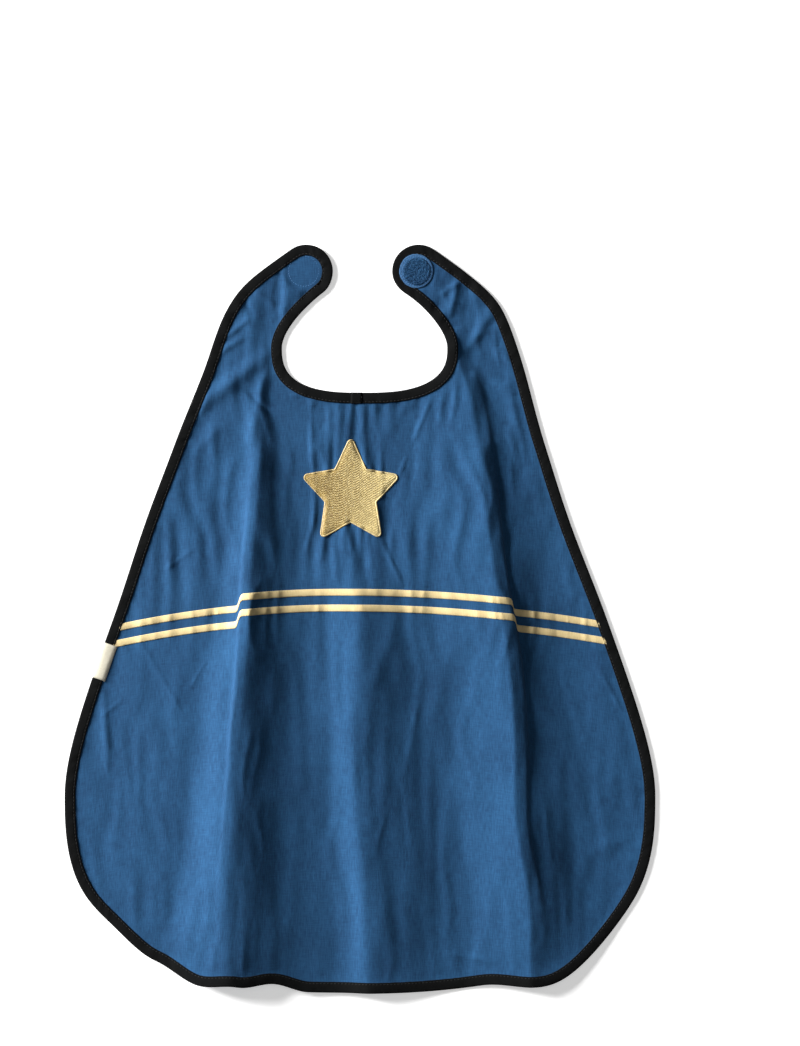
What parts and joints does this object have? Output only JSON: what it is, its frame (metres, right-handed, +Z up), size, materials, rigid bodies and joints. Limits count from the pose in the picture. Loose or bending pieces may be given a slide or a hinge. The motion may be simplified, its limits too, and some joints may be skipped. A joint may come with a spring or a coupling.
{
  "type": "dress-up cape",
  "caption": "Child's cotton dress-up cape laid flat: flared panel with dark bias binding, round neck, shoulder straps with hook-and-loop tabs, star and stripes.",
  "frame": {"origin": "middle of the underside, half way along the length and the width, with the cape lying flat", "axes": "+Y from the hem to the neck along the length, +X to the tab with the loop disc, +Z up out of the outer face"},
  "size_m": [0.515, 0.652, 0.0178],
  "materials": {
    "cotton": "matte woven",
    "binding": "matte woven",
    "binding_thread": "matte thread",
    "ribbon": "satin woven",
    "embroidery": "satin thread",
    "satin_stitch": "satin thread",
    "backing": "matte felted",
    "label": "satin woven",
    "label_thread": "matte thread",
    "hook_tape": "nylon hooks",
    "loop_tape": "brushed nylon loops",
    "disc_thread": "matte thread"
  },
  "bodies": {
    "cape": {"cape_panel": "cotton", "cape_binding": "binding", "binding_join": "binding", "cape_binding_stitching": "binding_thread", "upper_stripe": "ribbon", "lower_stripe": "ribbon", "star": "embroidery", "star_rim": "satin_stitch", "star_backing": "backing", "side_label": "label", "label_stitching": "label_thread"},
    "left_shoulder": {"left_shoulder_panel": "cotton", "left_shoulder_binding": "binding", "left_shoulder_stitching": "binding_thread"},
    "left_tab": {"left_tab_panel": "cotton", "left_tab_binding": "binding", "left_tab_stitching": "binding_thread", "hook_disc": "hook_tape", "hook_stitching": "disc_thread"},
    "right_shoulder": {"right_shoulder_panel": "cotton", "right_shoulder_binding": "binding", "right_shoulder_stitching": "binding_thread"},
    "right_tab": {"right_tab_panel": "cotton", "right_tab_binding": "binding", "right_tab_stitching": "binding_thread", "loop_disc": "loop_tape", "loop_stitching": "disc_thread"}
  },
  "joints": [
    {"name": "left_shoulder_fold", "type": "hinge", "parent": "cape", "child": "left_shoulder", "pos_m": [0, 0.2358, 0.0025], "axis": [0.866, 0.5, 0], "range_deg": [0, 96]},
    {"name": "left_tab_bend", "type": "hinge", "parent": "left_shoulder", "child": "left_tab", "pos_m": [-0.07128, 0.2872, 0.0025], "axis": [0.5736, -0.8192, 0], "range_deg": [0, 34]},
    {"name": "right_shoulder_fold", "type": "hinge", "parent": "cape", "child": "right_shoulder", "pos_m": [0, 0.2358, 0.0025], "axis": [0.866, -0.5, 0], "range_deg": [0, 96]},
    {"name": "right_tab_bend", "type": "hinge", "parent": "right_shoulder", "child": "right_tab", "pos_m": [0.07128, 0.2872, 0.0025], "axis": [0.5736, 0.8192, 0], "range_deg": [0, 25]}
  ],
  "couplings": [
    {"joint": "left_tab_bend", "follows": "left_shoulder_fold", "ratio": 0.354},
    {"joint": "right_tab_bend", "follows": "right_shoulder_fold", "ratio": 0.26}
  ]
}
